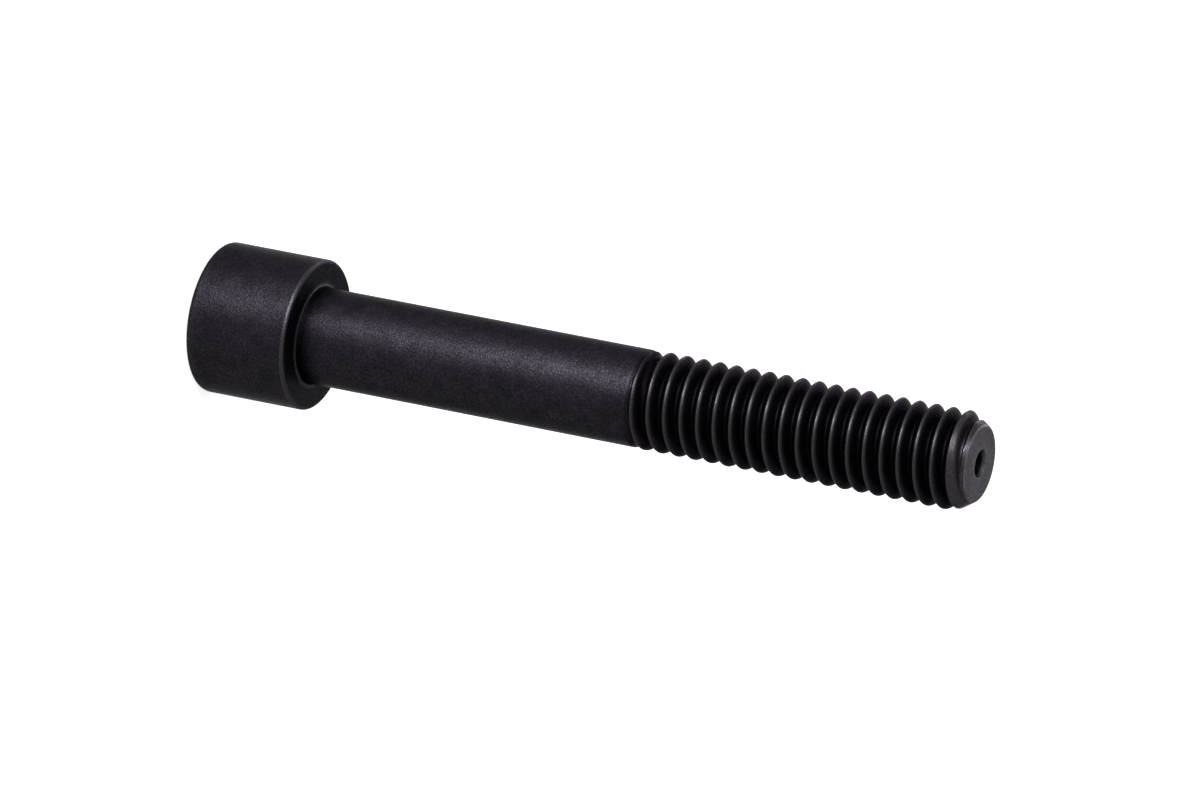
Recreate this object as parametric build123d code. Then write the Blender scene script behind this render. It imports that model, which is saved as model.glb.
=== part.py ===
from build123d import *
from math import ceil, cos, radians, tan
import os

# Hex socket head cap screw, part threaded, in one piece.
# It stands on its head: the head's top face is at Z = 0, the axis is +Z and the tip is up.
# The origin is the centre of the head's top face. All sizes are in millimetres.

# Head
head_diameter = 12.1
head_height = 8.7
head_top_bevel = 0.4
bearing_edge_bevel = 0.3

# Hex socket in the head
key_across_flats = 6.35
key_clearance = 0.05
key_depth = 4.2
mouth_bevel = 0.12
mouth_bevel_angle = 45
pilot_diameter = 6.1
drill_point_angle = 120

# Shank
shank_diameter = 7.76
under_head_fillet = 0.3
length_under_head = 57.15

# External thread, right hand, one start
thread_length = 28.575
thread_crest_diameter = 7.9
pitch = 1.411
crest_flat = 0.176
root_flat = 0.235
flank_angle = 60
shank_end_angle = 30
first_crest_diameter = 7.1
first_crest_setback = 0.1
first_crest_angle = 45

# Tip
tip_face_diameter = 5.98
tip_bevel_length = 1.45
centre_hole_diameter = 2.2
centre_hole_depth = 3.0

# Sizes worked out from the ones above
head_radius = head_diameter / 2
shank_radius = shank_diameter / 2
crest_radius = thread_crest_diameter / 2
flank_slope = tan(radians(flank_angle / 2))
thread_depth = (pitch - crest_flat - root_flat) / 2 / flank_slope
root_radius = crest_radius - thread_depth
tip_face_radius = tip_face_diameter / 2
tip_bevel_slope = (crest_radius - tip_face_radius) / tip_bevel_length
socket_across_flats = key_across_flats + key_clearance
socket_corner_radius = socket_across_flats / 2 / cos(radians(30))
bearing_z = head_height
tip_z = bearing_z + length_under_head
shank_end_z = tip_z - thread_length

# A little overlap where one form is sunk into another
sunk = 0.12


def drilled_hole(radius, depth, point_angle):
    # A drilled hole from Z = 0 up to its full depth, with the drill's point beyond it
    point_height = radius / tan(radians(point_angle / 2))
    section = Polygon((0, 0), (radius, 0), (radius, depth), (0, depth + point_height), align=None)
    return revolve(Plane.XZ * section, Axis.Z)


def turned_blank():
    # Head, shank and the core that carries the thread, turned in one piece.
    # The fillet under the head is turned as one 45 degree cone.
    shank_end_cone = (shank_radius - root_radius) / tan(radians(shank_end_angle))
    outline = Polyline(
        (0, 0),
        (head_radius - head_top_bevel, 0),
        (head_radius, head_top_bevel),
        (head_radius, bearing_z - bearing_edge_bevel),
        (head_radius - bearing_edge_bevel, bearing_z),
        (shank_radius + under_head_fillet, bearing_z),
        (shank_radius, bearing_z + under_head_fillet),
        (shank_radius, shank_end_z),
        (root_radius, shank_end_z + shank_end_cone),
        (root_radius, tip_z),
        (0, tip_z),
        close=True,
    )
    return revolve(Plane.XZ * make_face(outline), Axis.Z)


def thread_ridge():
    # The helical ridge: one flank section carried along a right-hand helix on the core.
    # It starts inside the shank's end cone and runs on past the tip, where it is trimmed later.
    # The helix is laid as half turns, each rising by half a pitch.
    start_z = shank_end_z - pitch
    rise = pitch / 2
    half_turns = ceil((tip_z + pitch - start_z) / rise)
    half_turn = Helix(pitch=pitch, height=rise, radius=root_radius)
    path = Wire(
        [Pos(0, 0, start_z + step * rise) * Rot(0, 0, 180 * step) * half_turn for step in range(half_turns)]
    )
    half_crest = crest_flat / 2
    half_base = half_crest + (thread_depth + sunk) * flank_slope
    section = Polygon(
        (root_radius - sunk, start_z - half_base),
        (crest_radius, start_z - half_crest),
        (crest_radius, start_z + half_crest),
        (root_radius - sunk, start_z + half_base),
        align=None,
    )
    ridge = sweep((Plane.XZ * section).face(), path=path, is_frenet=True)
    return ridge - first_turn_trim(start_z - pitch)


def first_turn_trim(below_z):
    # What is taken off the ridge's first turn, so that its crest rises to full height on a cone
    first_radius = first_crest_diameter / 2
    outside = head_radius
    first_z = shank_end_z + first_crest_setback
    outside_z = first_z + (outside - first_radius) * tan(radians(first_crest_angle))
    section = Polygon(
        (0, below_z),
        (outside, below_z),
        (outside, outside_z),
        (first_radius, first_z),
        (0, first_z),
        align=None,
    )
    return revolve(Plane.XZ * section, Axis.Z)


def tip_trim():
    # What is taken off beyond the tip's flat face and its bevel
    outside = head_radius
    outside_z = tip_z - (outside - tip_face_radius) / tip_bevel_slope
    above_z = tip_z + 3 * pitch
    section = Polygon(
        (0, tip_z),
        (tip_face_radius, tip_z),
        (outside, outside_z),
        (outside, above_z),
        (0, above_z),
        align=None,
    )
    return revolve(Plane.XZ * section, Axis.Z)


def key_socket():
    # Broached hex over a drilled pilot, with a bevel round the mouth
    hexagon = RegularPolygon(socket_across_flats / 2, 6, major_radius=False)
    hex_bore = extrude(hexagon, key_depth)
    pilot = drilled_hole(pilot_diameter / 2, key_depth, drill_point_angle)
    mouth_radius = socket_corner_radius + mouth_bevel
    mouth_depth = mouth_radius / tan(radians(mouth_bevel_angle))
    mouth = revolve(
        Plane.XZ * Polygon((0, 0), (mouth_radius, 0), (0, mouth_depth), align=None), Axis.Z
    )
    return hex_bore + pilot + mouth


def centre_hole():
    # Blind hole drilled into the tip's face
    hole = drilled_hole(centre_hole_diameter / 2, centre_hole_depth, drill_point_angle)
    return Pos(0, 0, tip_z) * Rot(180, 0, 0) * hole


threaded_body = turned_blank() + thread_ridge() - tip_trim()
screw = threaded_body - key_socket() - centre_hole()

os.makedirs("parts", exist_ok=True)
export_step(screw.solid(), "parts/screw.step")
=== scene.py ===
import bpy
from math import atan, cos, degrees, pi, radians, sin, tan
from mathutils import Matrix, Vector


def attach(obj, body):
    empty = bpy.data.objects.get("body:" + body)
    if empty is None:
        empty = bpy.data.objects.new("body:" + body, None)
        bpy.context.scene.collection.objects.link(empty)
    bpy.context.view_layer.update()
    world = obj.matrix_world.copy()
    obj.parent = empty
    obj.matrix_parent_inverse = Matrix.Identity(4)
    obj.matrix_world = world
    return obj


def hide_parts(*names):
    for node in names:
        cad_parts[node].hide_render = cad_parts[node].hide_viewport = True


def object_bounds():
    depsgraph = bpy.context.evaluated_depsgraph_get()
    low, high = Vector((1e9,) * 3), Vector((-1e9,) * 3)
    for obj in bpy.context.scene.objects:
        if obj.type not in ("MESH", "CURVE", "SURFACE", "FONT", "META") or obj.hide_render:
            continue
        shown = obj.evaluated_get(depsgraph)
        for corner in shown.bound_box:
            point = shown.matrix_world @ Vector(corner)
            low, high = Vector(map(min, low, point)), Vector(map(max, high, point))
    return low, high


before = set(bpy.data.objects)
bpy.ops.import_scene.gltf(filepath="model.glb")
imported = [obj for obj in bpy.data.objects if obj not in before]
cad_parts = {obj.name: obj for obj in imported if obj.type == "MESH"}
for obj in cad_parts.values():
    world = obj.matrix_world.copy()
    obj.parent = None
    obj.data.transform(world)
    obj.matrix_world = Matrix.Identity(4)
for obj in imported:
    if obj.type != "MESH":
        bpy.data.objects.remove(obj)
cad_low, cad_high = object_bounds()

# Sizes of the screw in millimetres and degrees, as in the part's source. Edges are rounded here,
# and the thread's crest flat is wider, to make up for what its rounding takes off.
head_diameter = 12.1
head_height = 8.7
head_top_round = 0.45
bearing_edge_round = 0.24
key_across_flats = 6.4
key_depth = 4.2
mouth_bevel = 0.12
pilot_diameter = 6.1
drill_point_angle = 120
shank_diameter = 7.76
under_head_fillet = 0.3
thread_length = 28.575
crest_diameter = 7.9
pitch = 1.411
crest_flat = 0.23
root_flat = 0.235
flank_angle = 60
shank_end_angle = 30
first_crest_diameter = 7.1
first_crest_setback = 0.1
tip_face_diameter = 5.98
tip_bevel_length = 1.45
tip_edge_round = 0.3
centre_hole_diameter = 2.2
centre_hole_depth = 3.0
centre_hole_round = 0.06

# Softening of the thread's corners
crest_softness = 0.3
root_softness = 0.16
trim_softness = 0.04

# Thread mesh: its rows start a share of a pitch below the shank's end, and level rings close it
# at a small gap from them
columns = 144
rows_per_pitch = 27
crest_crowding = 0.5
pitches_below_shank_end = 0.6
spare_turns = 2
closing_gap = 0.02

# Edges sharper than this angle stay sharp, and the rounds have these numbers of steps
sharp_edge_angle = 38
head_top_steps = 10
bearing_edge_steps = 8
fillet_lip_steps = 4
fillet_steps = 5
tip_edge_steps = 6
hole_edge_steps = 4

# Flat rings that hold the shading level beside the rounded edges: millimetres from the round, a
# share of the tip face's radius, and degrees along the tip's round past the bevel
top_face_inset = 0.3
bearing_edge_inset = 0.08
bearing_face_inset = 0.2
tip_face_share = 0.7
tip_edge_first_angle = 8

# Rings along the head's side and the shank, as shares of their lengths
head_ring_shares = (0.1, 0.5, 0.9)
shank_ring_shares = (0.35, 0.65, 0.9)

# Wear of the edges, from 0 to 1. Crests wear down to that share of the thread's depth, and the
# wear fades in over that length from the shank's end.
head_top_wear = 0.3
# The bearing edge's wear also sets the painted highlight on the fillet's lip
edge_wear_and_lip_highlight = 1.0
crest_wear_share = 0.18
wear_fade_length = 0.3

# The fillet's lip has a painted highlight up to the first angle, and the fillet has painted shade
# from the second one on. The neck above it carries painted shade that fades out again:
# millimetres above the head, and painted shade from 0 to 1.
fillet_highlight_angle = 235
fillet_shade_angle = 225
neck_shade_rings = ((0.5, 0.85), (0.9, 0.5), (1.5, 0.12), (2.5, 0.0))

# The centre hole narrows inwards: millimetres below the face, share of its radius, and painted
# shade from 0 to 1
hole_rings = ((0.3, 0.9, 0.6), (0.8, 0.75, 1.0), (centre_hole_depth, 0.7, 1.0))

# Black oxide: the noise values at which the grain is dark, middling and light, rough and glossy
dark_grain, middle_grain, light_grain = 0.38, 0.50, 0.62
rough_grain, glossy_grain = 0.25, 0.75

# What the clouds' noise and a groove's depth multiply the colour by, and what the depth adds to
# the roughness, as pairs of a value from 0 to 1 and the factor or amount there. The depth's
# factor is painted shade: it darkens the thread's grooves, the fillet, the neck and the centre
# hole.
cloud_shade = ((0.32, 0.72), (0.68, 1.08))
groove_shade = ((0.0, 1.0), (0.3, 0.65), (0.9, 0.16))
groove_roughness = ((0.2, 0.0), (0.9, 0.12))

# Size of the clouds in millimetres, and how finely the noises are broken up
cloud_size = 1.3
noise_detail = 4.0
grain_harshness = 0.65
cloud_harshness = 0.6

# Floor and world
floor_size = 8
floor_drop = 0.02
floor_grey = 0.7
floor_roughness = 0.9
floor_glow = 0.77
world_light = 0.35

# Camera: where it stands about the screw, how far the screw's axis leans out of the picture
# plane, and how far the axis runs downhill in the picture
photo_width = 1200
focal_pixels = 9300
sensor_width = 36
camera_turn = -125
axis_lean = 23.2
axis_downhill = 11.02
camera_distance = 726.3
aim_height = 33.49
axis_above_middle_pixels = 9.9
camera_clip_start = 0.05
camera_clip_end = 20

# Lamps: name, degrees about the screw from the camera's side towards the top of the picture,
# distance and height, width and height of the lamp in metres, and power in watts
lamps = (
    ("key_light", 31, 0.4, 0.025, (0.09, 0.05), 4.0),
    ("high_light", 42, 0.45, 0.42, (0.25, 0.20), 2.0),
    ("back_light", 150, 0.6, 0.25, (0.3, 0.25), 1.4),
    ("rim_light", 136, 0.5, 0.05, (0.14, 0.08), 0.9),
)

# Sizes worked out from the ones above
millimetre = 0.001
head_radius = head_diameter / 2
shank_radius = shank_diameter / 2
crest_radius = crest_diameter / 2
pilot_radius = pilot_diameter / 2
tip_face_radius = tip_face_diameter / 2
hole_radius = centre_hole_diameter / 2
flank_slope = tan(radians(flank_angle / 2))
root_radius = crest_radius - (pitch - crest_flat - root_flat) / 2 / flank_slope
tip_z = (cad_high.z - cad_low.z) / millimetre
shank_end_z = tip_z - thread_length
tip_bevel_slope = (crest_radius - tip_face_radius) / tip_bevel_length

# Places of the three finishes in the mesh's list of materials
matt_place, rolled_place, cut_place = range(3)


def soft_min(a, b, softness):
    # The smaller of two values, rounded over where they meet
    blend = max(softness - abs(a - b), 0) / softness
    return min(a, b) - blend * blend * softness / 4


def soft_max(a, b, softness):
    return -soft_min(-a, -b, softness)


class TurnedMesh:
    """Rings of vertices about the screw's axis, joined one after another into a closed skin."""

    def __init__(self):
        self.points = []
        self.depths = []
        self.wear = []
        self.faces = []
        self.materials = []
        self.material = matt_place
        self.last = None

    def add_point(self, radius, angle, z, depth=0.0, wear=0.0):
        # depth is how much painted shade the point takes: its depth in a thread's groove, and a set
        # amount at the fillet, the neck and the centre hole. wear is how much it is rubbed, and on
        # the fillet's lip it is a painted highlight. Both run from 0 to 1.
        self.points.append((radius * cos(angle), radius * sin(angle), z))
        self.depths.append(depth)
        self.wear.append(wear)
        return len(self.points) - 1

    def add_face(self, corners):
        self.faces.append(corners)
        self.materials.append(self.material)

    def join(self, ring):
        # Quads from the last ring to this one, or triangles where either is a single point
        previous = self.last
        if previous is not None:
            for j in range(columns):
                k = (j + 1) % columns
                if len(previous) == 1:
                    self.add_face([previous[0], ring[k], ring[j]])
                elif len(ring) == 1:
                    self.add_face([previous[j], previous[k], ring[0]])
                else:
                    self.add_face([previous[j], previous[k], ring[k], ring[j]])
        self.last = ring

    def ring(self, radius, z, depth=0.0, wear=0.0):
        # radius and z are numbers, or functions of the angle
        ring = []
        for j in range(columns):
            angle = 2 * pi * j / columns
            r = radius(angle) if callable(radius) else radius
            height = z(angle) if callable(z) else z
            ring.append(self.add_point(r, angle, height, depth, wear))
        self.join(ring)

    def tip(self, z):
        self.join([self.add_point(0, 0, z)])

    def arc(self, centre_r, centre_z, radius, start, end, steps, depth=0.0, wear=0.0):
        # A rounded edge: rings along an arc, from one angle in degrees to another. 0 is away from
        # the axis, 90 is up, 180 is towards the axis, and -90 or 270 is down.
        for step in range(steps + 1):
            angle = radians(start + (end - start) * step / steps)
            self.ring(centre_r + radius * cos(angle), centre_z + radius * sin(angle), depth, wear)


def drill_point_height(radius):
    return radius / tan(radians(drill_point_angle / 2))


def hexagon_radius(angle):
    # Distance from the axis to the hex socket's wall; two flats face +Y and -Y
    from_flat = (angle % (pi / 3)) - pi / 6
    return key_across_flats / 2 / cos(from_flat)


def build_socket(mesh):
    # From the drill point down to the mouth, which lies in the head's top face at Z = 0
    corner_radius = key_across_flats / 2 / cos(pi / 6)
    mouth_radius = corner_radius + mouth_bevel
    mesh.tip(key_depth + drill_point_height(pilot_radius))
    mesh.ring(pilot_radius / 2, key_depth + drill_point_height(pilot_radius / 2))
    mesh.ring(pilot_radius, key_depth)
    mesh.ring(hexagon_radius, key_depth)
    mesh.ring(hexagon_radius, lambda angle: mouth_radius - hexagon_radius(angle))
    mesh.ring(mouth_radius, 0)


def build_head(mesh):
    top, edge = head_top_round, bearing_edge_round
    mesh.ring(head_radius - top - top_face_inset, 0)
    mesh.arc(head_radius - top, top, top, -90, 0, head_top_steps, wear=head_top_wear)
    for share in head_ring_shares:
        mesh.ring(head_radius, head_height * share)
    mesh.ring(head_radius, head_height - edge - bearing_edge_inset)
    mesh.arc(
        head_radius - edge, head_height - edge, edge, 0, 90, bearing_edge_steps, wear=edge_wear_and_lip_highlight
    )
    mesh.ring(head_radius - edge - bearing_edge_inset, head_height)
    mesh.ring(shank_radius + under_head_fillet + bearing_face_inset, head_height)


def build_shank(mesh):
    # The fillet's lower lip takes the edge tones as a painted highlight, and the rest of the fillet
    # and the neck above it take painted shade
    fillet = under_head_fillet
    centre_r, centre_z = shank_radius + fillet, head_height + fillet
    mesh.arc(centre_r, centre_z, fillet, 270, fillet_highlight_angle, fillet_lip_steps, wear=edge_wear_and_lip_highlight)
    mesh.arc(centre_r, centre_z, fillet, fillet_shade_angle, 180, fillet_steps, depth=1.0)
    for above_head, depth in neck_shade_rings:
        mesh.ring(shank_radius, head_height + above_head, depth)
    shank_length = shank_end_z - head_height
    for share in shank_ring_shares:
        mesh.ring(shank_radius, head_height + shank_length * share)


def blank_radius(z):
    # The turned shank and the core under the thread
    step = shank_radius - (z - shank_end_z) * tan(radians(shank_end_angle))
    return soft_max(root_radius, soft_min(shank_radius, step, trim_softness), trim_softness)


def bevel_radius(z):
    # The bevel at the tip
    return tip_face_radius + (tip_z - z) * tip_bevel_slope


def screw_radius(from_crest, z):
    # Distance from the axis to the skin, from_crest along the axis from the nearest crest
    body = blank_radius(z)
    if z >= shank_end_z + first_crest_setback:
        flank = crest_radius - (abs(from_crest) - crest_flat / 2) / flank_slope
        ridge = soft_min(crest_radius, soft_max(root_radius, flank, root_softness), crest_softness)
        first_rise = first_crest_diameter / 2 + (z - shank_end_z - first_crest_setback)
        ridge = soft_min(ridge, first_rise, trim_softness)
        body = soft_max(body, ridge, trim_softness)
    return soft_min(body, bevel_radius(z), trim_softness)


def groove_depth(radius, z):
    # How deep a point of the skin lies under the crests or the tip's bevel, from 0 to 1
    depth = (min(crest_radius, bevel_radius(z)) - radius) / (crest_radius - root_radius)
    return max(depth, 0.0)


def crest_wear(depth, z):
    wear = max(1 - depth / crest_wear_share, 0.0)
    return wear * min(max(z - shank_end_z, 0.0) / wear_fade_length, 1.0)


def thread_stacks(mesh, low_z, high_z):
    # Columns of points, keyed by row. The rows follow the helix: a row that leaves the last column
    # goes on in the first one, a turn further up. Rows crowd together at the crests.
    offsets = []
    for row in range(rows_per_pitch):
        share = 2 * row / rows_per_pitch - 1
        offsets.append(pitch / 2 * (share - crest_crowding * sin(pi * share) / pi))
    stacks = []
    for j in range(columns):
        stack = {}
        for turn in range(-spare_turns, int(thread_length / pitch) + 1 + spare_turns):
            crest_z = shank_end_z + (turn + j / columns) * pitch
            for row, offset in enumerate(offsets):
                z = crest_z + offset
                if low_z < z < high_z:
                    radius = screw_radius(offset, z)
                    depth = groove_depth(radius, z)
                    angle = 2 * pi * j / columns
                    point = mesh.add_point(radius, angle, z, depth, crest_wear(depth, z))
                    stack[turn * rows_per_pitch + row] = point
        stacks.append(stack)
    return stacks


def build_thread(mesh):
    # Level rings close the helical rows below and above
    low_z = shank_end_z - pitches_below_shank_end * pitch
    outside, below_face = tip_bevel_tangent()
    high_z = tip_z - below_face
    mesh.ring(shank_radius, low_z)
    low_ring = mesh.last
    mesh.last = None
    mesh.ring(tip_face_radius + outside, high_z)
    high_ring = mesh.last
    stacks = thread_stacks(mesh, low_z + closing_gap, high_z - closing_gap)
    for j in range(columns):
        k = (j + 1) % columns
        shift = rows_per_pitch if k == 0 else 0
        left = stacks[j]
        right = {row - shift: point for row, point in stacks[k].items()}
        shared = sorted(set(left) & set(right))
        first, last = shared[0], shared[-1]
        below = [right[row] for row in sorted(right) if row < first]
        above = [left[row] for row in sorted(left, reverse=True) if row > last]
        mesh.material = matt_place
        mesh.add_face([low_ring[j], low_ring[k]] + below + [right[first], left[first]])
        for lower, upper in zip(shared, shared[1:]):
            if mesh.points[left[lower]][2] > shank_end_z:
                mesh.material = rolled_place
            mesh.add_face([left[lower], right[lower], right[upper], left[upper]])
        mesh.add_face([left[last], right[last], high_ring[k], high_ring[j]] + above)


def tip_bevel_tangent():
    # Where the round at the tip's edge meets the bevel: how far outside the edge and below the face
    bevel_angle = atan(tip_bevel_slope)
    along_bevel = tip_edge_round * tan((pi / 2 - bevel_angle) / 2)
    return along_bevel * sin(bevel_angle), along_bevel * cos(bevel_angle)


def build_tip(mesh):
    # The rounded edge, the end face and the centre hole
    bevel_angle = degrees(atan(tip_bevel_slope))
    outside, _ = tip_bevel_tangent()
    centre_r = tip_face_radius + outside - tip_edge_round * cos(radians(bevel_angle))
    mesh.material = cut_place
    mesh.arc(
        centre_r, tip_z - tip_edge_round, tip_edge_round,
        bevel_angle + tip_edge_first_angle, 90, tip_edge_steps,
    )
    mesh.ring(tip_face_radius * tip_face_share, tip_z)
    edge = centre_hole_round
    mesh.ring(hole_radius + edge * 2, tip_z)
    mesh.arc(hole_radius + edge, tip_z - edge, edge, 90, 180, hole_edge_steps)
    # Painted shade deepens into the centre hole, down to the drill point
    for below_face, share, depth in hole_rings:
        mesh.ring(hole_radius * share, tip_z - below_face, depth)
        mesh.material = rolled_place
    point_height = drill_point_height(hole_radius)
    mesh.ring(hole_radius / 3, tip_z - centre_hole_depth - point_height / 2, 1.0)
    mesh.tip(tip_z - centre_hole_depth - point_height)


def build_screw(materials):
    mesh = TurnedMesh()
    build_socket(mesh)
    build_head(mesh)
    build_shank(mesh)
    build_thread(mesh)
    build_tip(mesh)
    data = bpy.data.meshes.new("screw_body")
    data.from_pydata([Vector(point) * millimetre for point in mesh.points], [], mesh.faces)
    for material in materials:
        data.materials.append(material)
    data.polygons.foreach_set("material_index", mesh.materials)
    data.polygons.foreach_set("use_smooth", [True] * len(mesh.faces))
    for name, values in (("groove_depth", mesh.depths), ("wear", mesh.wear)):
        data.attributes.new(name, "FLOAT", "POINT").data.foreach_set("value", values)
    data.update()
    data.set_sharp_from_angle(angle=radians(sharp_edge_angle))
    screw = bpy.data.objects.new("screw_body", data)
    bpy.context.scene.collection.objects.link(screw)
    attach(screw, "root")
    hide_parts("screw")


def new_material(name):
    material = bpy.data.materials.new(name)
    material.use_nodes = True
    return material, material.node_tree.nodes, material.node_tree.links


def noise(nodes, links, coordinates, size, harshness):
    # Noise with patches of about this size in millimetres
    texture = nodes.new("ShaderNodeTexNoise")
    texture.inputs["Scale"].default_value = 1 / (size * millimetre)
    texture.inputs["Detail"].default_value = noise_detail
    texture.inputs["Roughness"].default_value = harshness
    links.new(coordinates, texture.inputs["Vector"])
    return texture.outputs["Fac"]


def ramp(nodes, links, value, stops):
    # Colours, or greys given as single numbers, along a value from 0 to 1
    node = nodes.new("ShaderNodeValToRGB")
    elements = node.color_ramp.elements
    while len(elements) < len(stops):
        elements.new(0.5)
    for element, (place, colour) in zip(elements, stops):
        element.position = place
        if not isinstance(colour, tuple):
            colour = (colour, colour, colour)
        element.color = (*colour, 1)
    links.new(value, node.inputs["Fac"])
    return node.outputs["Color"]


def mix(nodes, links, kind, share, a, b):
    # share is a number, or the socket that it comes from
    node = nodes.new("ShaderNodeMix")
    node.data_type = "RGBA"
    node.blend_type = kind
    if isinstance(share, float):
        node.inputs["Factor"].default_value = share
    else:
        links.new(share, node.inputs["Factor"])
    links.new(a, node.inputs["A"])
    links.new(b, node.inputs["B"])
    return node.outputs["Result"]


def surface_value(nodes, name):
    # A value from 0 to 1 that the mesh carries at each of its points
    attribute = nodes.new("ShaderNodeAttribute")
    attribute.attribute_name = name
    return attribute.outputs["Fac"]


def black_oxide(name, tones, edge_tones, roughness, grain_depth, grain_size, rim):
    # Black oxide on steel: a dark metal with a fine grain, cloudy patches and rubbed edges, with a
    # painted highlight on the fillet's lip and painted shade along the mesh's groove depth. tones
    # run from dark to light, roughness from glossy to rough, and the grain's sizes are millimetres.
    material, nodes, links = new_material(name)
    shader = nodes["Principled BSDF"]
    place = nodes.new("ShaderNodeTexCoord").outputs["Object"]
    grain = noise(nodes, links, place, grain_size, grain_harshness)
    clouds = noise(nodes, links, place, cloud_size, cloud_harshness)
    dark, middle, light = tones
    tone_stops = ((dark_grain, dark), (middle_grain, middle), (light_grain, light))
    colour = mix(
        nodes, links, "MULTIPLY", 1.0,
        ramp(nodes, links, grain, tone_stops), ramp(nodes, links, clouds, cloud_shade),
    )
    # Painted shade: the colour darkens with the mesh's groove depth, in the thread's grooves and at
    # the fillet, the neck and the centre hole
    groove = surface_value(nodes, "groove_depth")
    shade = ramp(nodes, links, groove, groove_shade)
    colour = mix(nodes, links, "MULTIPLY", 1.0, colour, shade)
    edge_stops = ((dark_grain, edge_tones[0]), (light_grain, edge_tones[1]))
    edge_colour = ramp(nodes, links, grain, edge_stops)
    # Edge tones where the mesh marks wear, and on the fillet's lip a painted highlight
    wear_and_lip_highlight = surface_value(nodes, "wear")
    links.new(mix(nodes, links, "MIX", wear_and_lip_highlight, colour, edge_colour), shader.inputs["Base Color"])
    glossy, rough = roughness
    grain_rough = ramp(nodes, links, grain, ((rough_grain, rough), (glossy_grain, glossy)))
    groove_rough = ramp(nodes, links, groove, groove_roughness)
    links.new(mix(nodes, links, "ADD", 1.0, grain_rough, groove_rough), shader.inputs["Roughness"])
    bump = nodes.new("ShaderNodeBump")
    bump.inputs["Strength"].default_value = 1
    bump.inputs["Distance"].default_value = grain_depth * millimetre
    links.new(grain, bump.inputs["Height"])
    links.new(bump.outputs["Normal"], shader.inputs["Normal"])
    shader.inputs["Metallic"].default_value = 1
    shader.inputs["Specular Tint"].default_value = (rim, rim, rim, 1)
    return material


def pale_floor():
    # Plain pale floor: white to the camera and in reflections, with the screw's own shadow kept
    material, nodes, links = new_material("pale_floor")
    shader = nodes["Principled BSDF"]
    shader.inputs["Base Color"].default_value = (floor_grey, floor_grey, floor_grey, 1)
    shader.inputs["Roughness"].default_value = floor_roughness
    shader.inputs["Specular IOR Level"].default_value = 0
    glow = nodes.new("ShaderNodeEmission")
    glow.inputs["Strength"].default_value = floor_glow
    both = nodes.new("ShaderNodeAddShader")
    links.new(shader.outputs["BSDF"], both.inputs[0])
    links.new(glow.outputs["Emission"], both.inputs[1])
    choose = nodes.new("ShaderNodeMixShader")
    links.new(seen_directly(nodes, links), choose.inputs["Fac"])
    links.new(shader.outputs["BSDF"], choose.inputs[1])
    links.new(both.outputs["Shader"], choose.inputs[2])
    links.new(choose.outputs["Shader"], nodes["Material Output"].inputs["Surface"])
    return material


def seen_directly(nodes, links):
    # 1 for rays of the camera, of reflections and of transmission, and 0 for the rest
    path = nodes.new("ShaderNodeLightPath")
    total = path.outputs["Is Camera Ray"]
    for name in ("Is Glossy Ray", "Is Transmission Ray"):
        either = nodes.new("ShaderNodeMath")
        either.operation = "MAXIMUM"
        links.new(total, either.inputs[0])
        links.new(path.outputs[name], either.inputs[1])
        total = either.outputs["Value"]
    return total


def build_floor():
    # A little below the head's top face, so that the two don't lie in one plane
    data = bpy.data.meshes.new("floor")
    half = floor_size / 2
    z = -floor_drop * millimetre
    corners = [(-half, -half, z), (half, -half, z), (half, half, z), (-half, half, z)]
    data.from_pydata(corners, [], [(0, 1, 2, 3)])
    data.materials.append(pale_floor())
    floor = bpy.data.objects.new("floor", data)
    bpy.context.scene.collection.objects.link(floor)


def camera_axes():
    # Right, up and backward directions of the camera, rolled so that the screw's axis runs to the
    # right and a little downhill
    turn, lean, downhill = radians(camera_turn), radians(axis_lean), radians(axis_downhill)
    backward = Vector((sin(turn) * cos(lean), -cos(turn) * cos(lean), sin(lean)))
    along = (Vector((0, 0, 1)) - backward * backward.z).normalized()
    across = backward.cross(along)
    right = along * cos(downhill) + across * sin(downhill)
    return right, backward.cross(right), backward


def build_camera():
    right, up, backward = camera_axes()
    data = bpy.data.cameras.new("camera")
    data.sensor_width = sensor_width
    data.lens = focal_pixels / photo_width * sensor_width
    data.clip_start = camera_clip_start
    data.clip_end = camera_clip_end
    camera = bpy.data.objects.new("camera", data)
    bpy.context.scene.collection.objects.link(camera)
    pixel = camera_distance / focal_pixels
    aim = Vector((0, 0, aim_height)) - up * axis_above_middle_pixels * pixel
    place = (aim + backward * camera_distance) * millimetre
    turned = Matrix((right, up, backward)).transposed().to_4x4()
    camera.matrix_world = Matrix.Translation(place) @ turned
    bpy.context.scene.camera = camera


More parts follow.
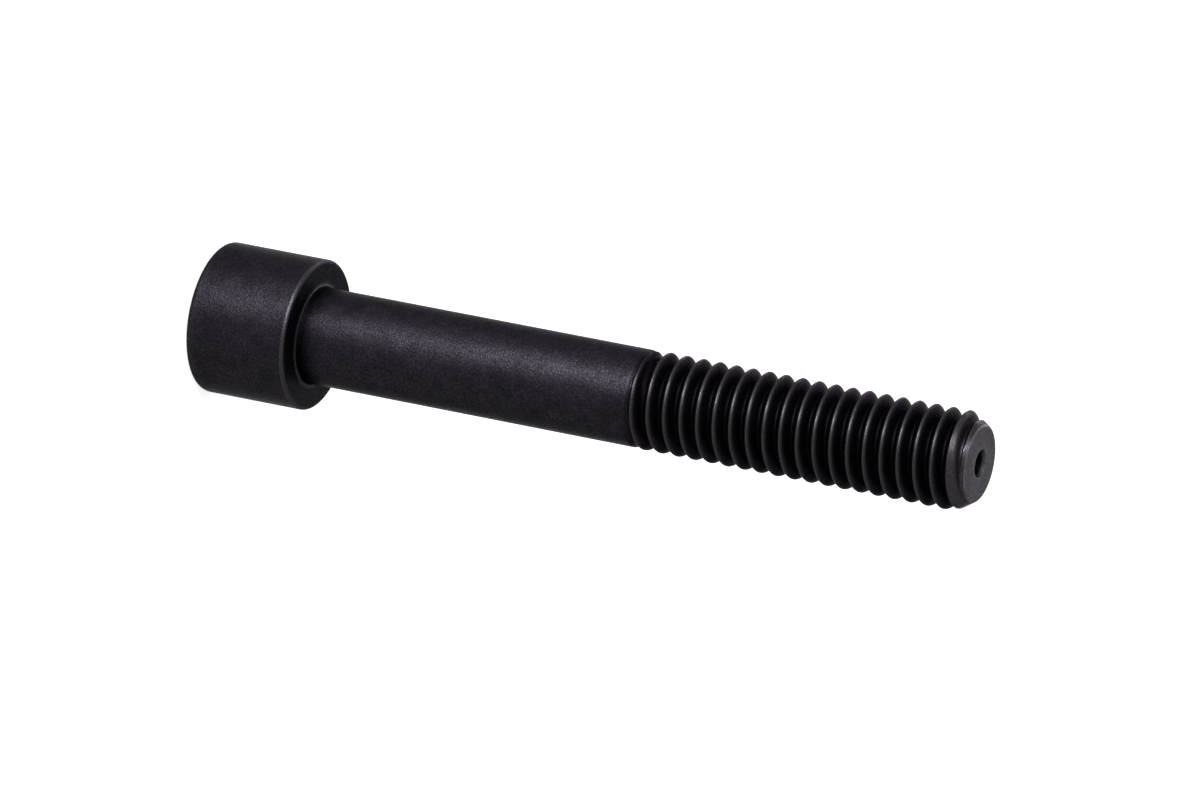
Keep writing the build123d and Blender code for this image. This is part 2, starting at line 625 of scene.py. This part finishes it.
def soft_box(name, around, distance, height, size, power):
    # An area lamp that faces the middle of the screw
    angle = radians(camera_turn - 90 - around)
    data = bpy.data.lights.new(name, "AREA")
    data.shape = "RECTANGLE"
    data.size, data.size_y = size
    data.energy = power
    lamp = bpy.data.objects.new(name, data)
    bpy.context.scene.collection.objects.link(lamp)
    lamp.location = (distance * cos(angle), distance * sin(angle), height)
    towards = lamp.location - Vector((0, 0, tip_z / 2 * millimetre))
    lamp.rotation_mode = "QUATERNION"
    lamp.rotation_quaternion = towards.to_track_quat("Z", "Y")


def build_world():
    # White to the camera and in reflections, and a weak fill light otherwise
    world = bpy.data.worlds.new("studio")
    world.use_nodes = True
    nodes, links = world.node_tree.nodes, world.node_tree.links
    background = nodes["Background"]
    background.inputs["Color"].default_value = (1, 1, 1, 1)
    strength = nodes.new("ShaderNodeMapRange")
    strength.inputs["To Min"].default_value = world_light
    strength.inputs["To Max"].default_value = 1
    links.new(seen_directly(nodes, links), strength.inputs["Value"])
    links.new(strength.outputs["Result"], background.inputs["Strength"])
    bpy.context.scene.world = world


matt = black_oxide(
    "black_oxide_matt",
    tones=((0.0082, 0.0074, 0.0098), (0.0118, 0.0107, 0.0139), (0.0175, 0.0161, 0.0204)),
    edge_tones=((0.020, 0.019, 0.022), (0.032, 0.030, 0.035)),
    roughness=(0.36, 0.48),
    grain_depth=0.031,
    grain_size=0.17,
    rim=0.5,
)
rolled = black_oxide(
    "black_oxide_rolled",
    tones=((0.0094, 0.0078, 0.0102), (0.0130, 0.0109, 0.0141), (0.0185, 0.0160, 0.0200)),
    edge_tones=((0.023, 0.021, 0.024), (0.039, 0.036, 0.041)),
    roughness=(0.32, 0.42),
    grain_depth=0.005,
    grain_size=0.14,
    rim=0.47,
)
cut = black_oxide(
    "black_oxide_cut",
    tones=((0.060, 0.057, 0.064), (0.080, 0.076, 0.085), (0.105, 0.100, 0.111)),
    edge_tones=((0.045, 0.043, 0.048), (0.072, 0.069, 0.077)),
    roughness=(0.36, 0.48),
    grain_depth=0.005,
    grain_size=0.14,
    rim=0.5,
)
build_screw([matt, rolled, cut])
build_floor()
build_world()
for lamp in lamps:
    soft_box(*lamp)
build_camera()
bpy.context.scene.view_settings.view_transform = "Standard"
